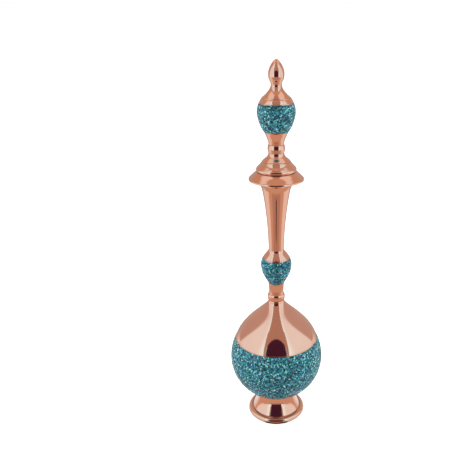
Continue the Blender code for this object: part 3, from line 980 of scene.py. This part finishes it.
class CARAFE_OT_neck_bulb(bpy.types.Operator):
    """The small inlaid bulb of the neck"""

    bl_idname = "carafe.neck_bulb"
    bl_label = "Neck bulb"

    def execute(self, context):
        sizes = context.scene.carafe_body
        height = low_of("neck_bulb_cup")
        low_height = height + sizes.stem_height
        widest = (reach_of("neck_bulb_turquoise"), low_height + sizes.bulb_rise)
        points = [(sizes.bulb_low, low_height), widest, (sizes.neck, top_of("neck_bulb_cap"))]
        outline = Outline(*through(points, BULB_FORMS))
        vessel("neck_bulb", outline, (sizes.stem, height), BULB_STEM_FORM, "carafe")
        return {"FINISHED"}


class CARAFE_OT_trumpet(bpy.types.Operator):
    """The flared neck up to its bell"""

    bl_idname = "carafe.trumpet"
    bl_label = "Trumpet neck"

    def execute(self, context):
        sizes, sheet = context.scene.carafe_body, context.scene.carafe_sheet
        height = low_of("neck_trumpet") + sheet.spigot
        bell_height = top_of("neck_trumpet")
        flare = (sizes.flare, bell_height - sizes.bell_height)
        points = [(sizes.neck, height), flare, (reach_of("neck_trumpet"), bell_height)]
        outline = Outline(*through(points, NECK_FORMS))
        spigot, wall = sizes.neck - sheet.inlay - sheet.gap, sheet.wall
        section = spigot_down(spigot, spigot - wall, sizes.neck, height)
        section += outline.run(outline.rings())
        section += outline.run(outline.rings()[1:], wall)[::-1]
        section += at_height([(sizes.neck - wall, 2.0 * wall), (spigot - wall, wall)], height)
        turned("neck_trumpet", section, "carafe")
        return {"FINISHED"}


class CARAFE_OT_flange(bpy.types.Operator):
    """The sloping flange round the mouth"""

    bl_idname = "carafe.flange"
    bl_label = "Mouth flange"

    def execute(self, context):
        sizes, sheet = context.scene.carafe_mouth, context.scene.carafe_sheet
        bell_height, top_height = top_of("neck_trumpet"), top_of("mouth_flange")
        edge = bell_height + sheet.wall
        slope = Outline(cubic((sizes.radius, edge), (sizes.top_radius, top_height), FLANGE_FORM))
        section = [Vector((sizes.radius, bell_height - sizes.lip))]
        section += slope.run(slope.rings())
        section += at_height([(sizes.bore, 0.0), (sizes.bore, -sizes.collar)], top_height)
        collar = sizes.bore + sheet.wall
        section += at_height([(collar, -sizes.collar), (collar, -sheet.wall)], top_height)
        section += slope.run(slope.rings(), sheet.wall)[::-1]
        section.append(Vector((sizes.radius - sheet.wall, bell_height - sizes.lip)))
        turned("mouth_flange", section, "carafe")
        return {"FINISHED"}


class CARAFE_OT_plug(bpy.types.Operator):
    """The drawn cup of the stopper that fills the mouth's bore"""

    bl_idname = "carafe.plug"
    bl_label = "Stopper plug"

    def execute(self, context):
        sizes, sheet = context.scene.carafe_stopper, context.scene.carafe_sheet
        height, bottom = low_of("stopper_dome"), low_of("stopper_plug") - low_of("stopper_dome")
        radius = context.scene.carafe_mouth.bore - sizes.clearance
        wall, corner = sheet.wall, sizes.plug_corner
        rim, bore, floor = sizes.dome_base - wall - sheet.gap, radius - wall, bottom + wall
        points = [(0.0, bottom), (radius - corner, bottom), (radius, bottom + corner)]
        points += [(radius, 0.0), (rim, 0.0), (rim, wall), (bore, wall)]
        points += [(bore, floor + corner), (bore - corner, floor), (0.0, floor)]
        turned("stopper_plug", at_height(points, height), "stopper")
        return {"FINISHED"}


class CARAFE_OT_dome(bpy.types.Operator):
    """The stopper's spun cover with its beaded edge"""

    bl_idname = "carafe.dome"
    bl_label = "Stopper dome"

    def execute(self, context):
        sizes, sheet = context.scene.carafe_stopper, context.scene.carafe_sheet
        height, top_height = low_of("stopper_dome"), top_of("stopper_dome")
        bead_top = height + sizes.dome_bead
        crease = bead_top + sizes.dome_height
        edge = bead(sizes.dome_base, sizes.dome_radius, height, bead_top)
        points = [(sizes.dome_base, bead_top), (sizes.dome_crease, crease)]
        points.append((sizes.dome_top, top_height))
        outline = Outline(edge, *through(points, DOME_FORMS))
        inner = [Vector((sizes.dome_base - sheet.wall, height))]
        inner += outline.run(outline.rings(outline.joints[0]), sheet.wall)
        turned("stopper_dome", outline.run(outline.rings()) + inner[::-1], "stopper", [crease])
        return {"FINISHED"}


class CARAFE_OT_knop(bpy.types.Operator):
    """The turned bead between the dome and the urn"""

    bl_idname = "carafe.knop"
    bl_label = "Stopper knop"

    def execute(self, context):
        sizes, sheet = context.scene.carafe_stopper, context.scene.carafe_sheet
        height, top = low_of("stopper_knop") + sheet.spigot, top_of("stopper_knop") - sheet.spigot
        ball = Outline(bead(sizes.dome_top, reach_of("stopper_knop"), height, top))
        section = spigot_down(sizes.dome_top - sheet.wall - sheet.gap, 0.0, sizes.dome_top, height)
        section += ball.run(ball.rings())
        section += spigot_up(sizes.urn_base - sheet.wall - sheet.gap, 0.0, top)
        turned("stopper_knop", section, "stopper")
        return {"FINISHED"}


class CARAFE_OT_urn(bpy.types.Operator):
    """The inlaid urn of the stopper"""

    bl_idname = "carafe.urn"
    bl_label = "Stopper urn"

    def execute(self, context):
        sizes = context.scene.carafe_stopper
        height = low_of("stopper_urn_cup")
        low_height = height + sizes.urn_base_height
        wide_height = low_height + sizes.urn_rise
        points = [(sizes.urn_low, low_height), (reach_of("stopper_urn_turquoise"), wide_height)]
        points.append((sizes.urn_crease, wide_height + sizes.urn_shoulder))
        points.append((sizes.finial_base, top_of("stopper_urn_cap")))
        outline = Outline(*through(points, URN_FORMS))
        foot = (sizes.urn_base, height)
        vessel("stopper_urn", outline, foot, URN_BASE_FORM, "stopper", sizes.urn_step)
        return {"FINISHED"}


class CARAFE_OT_finial(bpy.types.Operator):
    """The solid turned drop on top"""

    bl_idname = "carafe.finial"
    bl_label = "Finial"

    def execute(self, context):
        sizes, sheet = context.scene.carafe_stopper, context.scene.carafe_sheet
        height = low_of("stopper_finial") + sheet.spigot
        widest = (reach_of("stopper_finial"), height + sizes.finial_rise)
        points = [(sizes.finial_base, height), widest, (0.0, top_of("stopper_finial"))]
        outline = Outline(*through(points, FINIAL_FORMS))
        spigot = sizes.finial_base - sheet.inlay - sheet.gap
        section = spigot_down(spigot, 0.0, sizes.finial_base, height)
        section += outline.run(outline.rings())
        section[-1].x = 0.0
        turned("stopper_finial", section, "stopper")
        return {"FINISHED"}


# The studio

TENT_RADIUS = 1.2
TENT_HEIGHT = 2.4
PANEL_EDGE = math.radians(28.0)  # turn from the camera at which the panels begin
PANEL_END = math.radians(142.0)
ROOF_HEIGHT = 0.90
ROOF_FRONT = 0.33
ROOF_GAP = 0.01  # between the roof and the tent
ROOF_SLANT = 0.60  # how fast the roof's front edges run back to the sides
ARCH_PLACE = 0.475  # in front of the carafe
ARCH_WIDTH = 0.252
ARCH_FOOT = 0.39
ARCH_TOP = 0.622
PILLAR_FOOT = 0.06
PILLAR_WIDTH = 0.290
LINTEL_TOP = 0.89
LINTEL_WIDTH = 0.400
LINTEL_EDGE = math.radians(38.0)
ARCH_STEPS = 24
TENT_SIDES = 96
TENT_LIFT = 0.0004  # of the tent's floor over the studio's
NEAR_FLOOR = 0.052
FAR_FLOOR = 0.30
FLOOR_SIZE = 40.0
FLOOR_TONE = 0.90
FLOOR_GLOW = 0.80
LAMP_AIM = Vector((0.0, 0.0, 0.18))


def beside(middle, half):
    """A fade's two ends, one on each side of its middle."""
    return middle - half, middle + half


# Fades of the tent's wall: turns from the camera, heights, and the slope over the warm lower part
GLARE_TURNS = (PANEL_EDGE + 0.10, PANEL_EDGE + 0.45)
END_TURNS = beside(PANEL_END, 0.2)
EDGE_FADE = beside(0.0, 0.02)
LINTEL_HEIGHTS = (1.60, 1.68)
BACK_HEIGHTS = (0.30, 0.65)
SLOPE_PIVOT = 0.12
SLOPE_RISE = 0.507
SLOPE_SIDE = 0.39
SLOPE_FADE = (-0.08, 0.06)

# Fades of the tent's floor: distances from the carafe and turns from the camera
FOOT_SHADE = (0.030, 0.045, 0.4, 1.0)  # two distances, and the light at each
NEAR_FADE = beside(NEAR_FLOOR, 0.006)
FAR_FADE = beside(FAR_FLOOR, 0.04)
BEHIND_FAR = (0.12, 0.16)
BEHIND_TURNS = (1.7, 2.1)
PANEL_TURNS = beside(PANEL_EDGE, 0.03)
SLIT_NEAR = (0.350, 0.362)
SLIT_FAR = (0.424, 0.434)
OPENING_EDGE = (0.60, 0.66, 0.12, 0.30)  # two distances, and the opening's turn at each
OPENING_CORE = 0.04
WARM_TURNS = (0.55, 0.80)
OVERHEAD_TURNS = (1.10, 1.40)
BACK_TURNS = (2.10, 2.50)

# Fades of the roof's light patches: ahead of the carafe, and sideways
PATCH_BACK = (-0.32, -0.18)
PATCH_FRONT = (0.07, 0.13)
PATCH_SIDES = (0.45, 0.60)
PATCH_MIDDLE = (0.08, 0.13)


def hide_from_all_but_gloss(thing):
    """Let only mirrored rays meet a panel."""
    for rays in ("camera", "diffuse", "transmission", "volume_scatter", "shadow"):
        setattr(thing, f"visible_{rays}", False)


def panel(name, points, material):
    """A flat panel that only mirrored rays meet."""
    plate = draw_run(points + points[:1])
    plate.name = name
    bpy.ops.mesh.edge_face_add()
    bpy.ops.object.mode_set(mode="OBJECT")
    plate.data.materials.append(material)
    hide_from_all_but_gloss(plate)


def glow(name):
    """A material that only gives light, as a panel does."""
    made = bpy.data.materials.new(name)
    made.use_nodes = True
    made.node_tree.nodes.clear()
    nodes = Nodes(made.node_tree)
    light = nodes.add("ShaderNodeEmission")
    nodes.tree.links.new(light.outputs[0], nodes.add("ShaderNodeOutputMaterial").inputs[0])
    return made, nodes, light


def place_in_studio(nodes):
    """A point's turn away from the camera's side, its place sideways and ahead, and its height."""
    place = nodes.add("ShaderNodeTexCoord").outputs["Object"]
    split = nodes.add("ShaderNodeSeparateXYZ", {"Vector": place}).outputs
    side = nodes.maths("ABSOLUTE", split["X"])
    ahead = nodes.times(split["Y"], -1.0)
    return nodes.maths("ARCTAN2", side, ahead), side, ahead, split["Z"]


def tent_material(look):
    """Two white panels, a dark opening in front for the camera, and a back that is warm above."""
    made, nodes, light = glow("studio_tent")
    turn, side, ahead, height = place_in_studio(nodes)
    rise = nodes.times(nodes.maths("SUBTRACT", height, SLOPE_PIVOT), SLOPE_RISE)
    slope = nodes.maths("SUBTRACT", rise, nodes.maths("MULTIPLY_ADD", side, SLOPE_SIDE, ahead))
    white = nodes.mix(nodes.smooth(turn, *GLARE_TURNS), look.glare, look.white)
    white = nodes.mix(nodes.smooth(slope, *SLOPE_FADE), white, look.side)
    between = nodes.mix(nodes.smooth(height, *LINTEL_HEIGHTS), look.dark, look.strip_tone)
    edge = nodes.smooth(height, *LINTEL_HEIGHTS, PANEL_EDGE, LINTEL_EDGE)
    past_edge = nodes.smooth(nodes.maths("SUBTRACT", turn, edge), *EDGE_FADE)
    front = nodes.mix(past_edge, between, white)
    back = nodes.mix(nodes.smooth(height, *BACK_HEIGHTS), look.side, look.back)
    nodes.put(light.inputs["Color"], nodes.mix(nodes.smooth(turn, *END_TURNS), front, back))
    return made


def tent_floor_material(look):
    """What the metal mirrors of the table: warm near it, and the front's tones beyond."""
    made, nodes, light = glow("studio_tent_floor")
    turn, side, ahead, _ = place_in_studio(nodes)
    far = nodes.length(side, ahead)
    opening = nodes.mix(nodes.within(far, SLIT_NEAR, SLIT_FAR), look.strip_tone, look.dark)
    edge = nodes.smooth(far, *OPENING_EDGE)
    beyond = nodes.mix(nodes.smooth(turn, OPENING_CORE, edge), opening, look.strip_tone)
    tones = ((WARM_TURNS, look.warm), (OVERHEAD_TURNS, look.overhead), (BACK_TURNS, look.back))
    for turns, tone in tones:
        beyond = nodes.mix(nodes.smooth(turn, *turns), beyond, tone)
    at_foot = nodes.mix(nodes.smooth(turn, *PANEL_TURNS), look.dark, look.white)
    behind = nodes.mix(nodes.smooth(far, *BEHIND_FAR), look.white, look.side)
    near = nodes.mix(nodes.smooth(turn, *BEHIND_TURNS), look.warm, behind)
    near = nodes.mix(nodes.smooth(far, *NEAR_FADE), at_foot, near)
    nodes.put(light.inputs["Color"], nodes.mix(nodes.smooth(far, *FAR_FADE), near, beyond))
    nodes.put(light.inputs["Strength"], nodes.smooth(far, *FOOT_SHADE))
    return made


def roof_material(look):
    """A warm roof with a light patch on each side of its middle, right over the carafe."""
    made, nodes, light = glow("studio_roof")
    _, side, ahead, _ = place_in_studio(nodes)
    across = nodes.smooth(side, *PATCH_SIDES, 1.0, 0.0)
    patch = nodes.times(nodes.within(ahead, PATCH_BACK, PATCH_FRONT), across)
    tone = nodes.mix(nodes.smooth(side, *PATCH_MIDDLE), look.strip_tone, look.overhead)
    nodes.put(light.inputs["Color"], nodes.mix(patch, look.roof, tone))
    return made


def plain_light(name, tone):
    made, _, light = glow(name)
    light.inputs["Color"].default_value = (*tone, 1.0)
    return made


def seen_directly(nodes):
    """One for rays from the camera, mirrored ones and those through glass, which see white."""
    ray = nodes.add("ShaderNodeLightPath").outputs
    seen = nodes.maths("MAXIMUM", ray["Is Camera Ray"], ray["Is Glossy Ray"])
    return nodes.maths("MAXIMUM", seen, ray["Is Transmission Ray"])


def floor_material():
    """A white floor that keeps a soft shadow."""
    made, nodes, shader = new_material("studio_floor")
    shader.inputs["Base Color"].default_value = (FLOOR_TONE, FLOOR_TONE, FLOOR_TONE, 1.0)
    shader.inputs["Roughness"].default_value = 0.9
    strength = nodes.times(seen_directly(nodes), FLOOR_GLOW)
    inputs = {"Color": (1.0, 1.0, 1.0, 1.0), "Strength": strength}
    light = nodes.add("ShaderNodeEmission", inputs)
    both = nodes.add("ShaderNodeAddShader")
    nodes.tree.links.new(shader.outputs[0], both.inputs[0])
    nodes.tree.links.new(light.outputs[0], both.inputs[1])
    nodes.tree.links.new(both.outputs[0], nodes.tree.nodes["Material Output"].inputs["Surface"])
    return made


class CARAFE_OT_studio(bpy.types.Operator):
    """The floor, the lamps, the tent that the metal mirrors, and the camera"""

    bl_idname = "carafe.studio"
    bl_label = "Studio"

    def execute(self, context):
        look = context.scene.carafe_studio
        self.floor()
        self.tent(look)
        self.roof(look)
        self.lamps(look)
        self.world(context, look)
        self.camera(context, look)
        return {"FINISHED"}

    def floor(self):
        deselect_all()
        bpy.ops.mesh.primitive_plane_add(size=FLOOR_SIZE)
        floor = bpy.context.active_object
        floor.name = "floor"
        floor.data.materials.append(floor_material())

    def tent(self, look):
        deselect_all()
        middle = (0.0, 0.0, TENT_HEIGHT / 2.0)
        bpy.ops.mesh.primitive_cylinder_add(
            vertices=TENT_SIDES, radius=TENT_RADIUS, depth=TENT_HEIGHT, location=middle
        )
        tent = bpy.context.active_object
        tent.name = "tent"
        bpy.ops.object.transform_apply(location=True, rotation=False, scale=False)
        bpy.ops.object.mode_set(mode="EDIT")
        bpy.ops.mesh.select_all(action="SELECT")
        bpy.ops.mesh.normals_make_consistent(inside=True)
        bpy.ops.object.mode_set(mode="OBJECT")
        tent.data.materials.append(tent_material(look))
        tent.data.materials.append(tent_floor_material(look))
        for face in tent.data.polygons:
            face.material_index = 1 if face.normal.z > 0.5 else 0
        for vertex in tent.data.vertices:
            vertex.co.z = max(vertex.co.z, TENT_LIFT)
        hide_from_all_but_gloss(tent)

    def roof(self, look):
        """The warm roof, and the arch in front of it over the dark opening."""
        reach, side = TENT_RADIUS - ROOF_GAP, ROOF_SLANT * TENT_RADIUS - ROOF_FRONT
        roof = [(0.0, -ROOF_FRONT), (reach, side), (reach, reach), (-reach, reach), (-reach, side)]
        turns = even(0.0, math.pi, ARCH_STEPS)
        rise = ARCH_TOP - ARCH_FOOT
        arch = [(ARCH_WIDTH * math.cos(turn), ARCH_FOOT + rise * math.sin(turn)) for turn in turns]
        legs = [(ARCH_WIDTH, PILLAR_FOOT), (PILLAR_WIDTH, PILLAR_FOOT), (LINTEL_WIDTH, LINTEL_TOP)]
        arch += [(-across, height) for across, height in legs] + legs[::-1]
        roof = [(across, back, ROOF_HEIGHT) for across, back in roof]
        arch = [(across, -ARCH_PLACE, height) for across, height in arch]
        panel("roof", roof, roof_material(look))
        panel("arch", arch, plain_light("studio_arch", look.strip_tone))

    def lamps(self, look):
        places = (
            ("lamp_left", (-1.25, -0.2, 0.6), look.lamp_power, 0.9),
            ("lamp_right", (1.25, -0.2, 0.6), look.lamp_power, 0.9),
            ("lamp_top", (0.0, 0.2, 1.7), look.top_power, 1.2),
        )
        for name, place, power, width in places:
            deselect_all()
            bpy.ops.object.light_add(type="AREA", location=place)
            lamp = bpy.context.active_object
            lamp.name = name
            lamp.data.energy = power
            lamp.data.shape = "SQUARE"
            lamp.data.size = width
            lamp.rotation_euler = (LAMP_AIM - Vector(place)).to_track_quat("-Z", "Y").to_euler()
            lamp.visible_glossy = False
            lamp.visible_camera = False

    def world(self, context, look):
        world = bpy.data.worlds.new("studio_world")
        context.scene.world = world
        world.use_nodes = True
        nodes = Nodes(world.node_tree)
        background = world.node_tree.nodes["Background"]
        background.inputs["Color"].default_value = (1.0, 1.0, 1.0, 1.0)
        strength = nodes.maths("MULTIPLY_ADD", seen_directly(nodes), 1.0 - look.fill, look.fill)
        nodes.put(background.inputs["Strength"], strength)

    def camera(self, context, look):
        deselect_all()
        bpy.ops.object.camera_add(location=look.camera_place, rotation=(look.camera_tilt, 0.0, 0.0))
        camera = bpy.context.active_object
        camera.name = "camera"
        camera.data.lens = look.lens
        camera.data.sensor_width = 36.0
        camera.data.shift_x = look.shift
        camera.data.clip_start = 0.01
        context.scene.camera = camera
        context.scene.view_settings.view_transform = "Standard"


PIECES = (
    CARAFE_OT_foot,
    CARAFE_OT_belly,
    CARAFE_OT_collar,
    CARAFE_OT_neck_bulb,
    CARAFE_OT_trumpet,
    CARAFE_OT_flange,
    CARAFE_OT_plug,
    CARAFE_OT_dome,
    CARAFE_OT_knop,
    CARAFE_OT_urn,
    CARAFE_OT_finial,
    CARAFE_OT_studio,
)


class CARAFE_PT_panel(bpy.types.Panel):
    """Lists the carafe's pieces and their sizes"""

    bl_label = "Carafe"
    bl_idname = "CARAFE_PT_panel"
    bl_space_type = "VIEW_3D"
    bl_region_type = "UI"
    bl_category = "Carafe"

    def draw(self, context):
        for piece in PIECES:
            self.layout.operator(piece.bl_idname)
        for name, group in SETTINGS.items():
            box = self.layout.box()
            box.label(text=group.__doc__)
            for key in group.__annotations__:
                box.prop(getattr(context.scene, name), key)


def register():
    for group in SETTINGS.values():
        bpy.utils.register_class(group)
    for name, group in SETTINGS.items():
        setattr(bpy.types.Scene, name, PointerProperty(type=group))
    for piece in (*PIECES, CARAFE_PT_panel):
        bpy.utils.register_class(piece)


def unregister():
    for piece in (CARAFE_PT_panel, *reversed(PIECES)):
        bpy.utils.unregister_class(piece)
    for name, group in SETTINGS.items():
        delattr(bpy.types.Scene, name)
        bpy.utils.unregister_class(group)


def main():
    register()
    for piece in PIECES:
        family, name = piece.bl_idname.split(".")
        getattr(getattr(bpy.ops, family), name)()


if __name__ == "__main__":
    main()
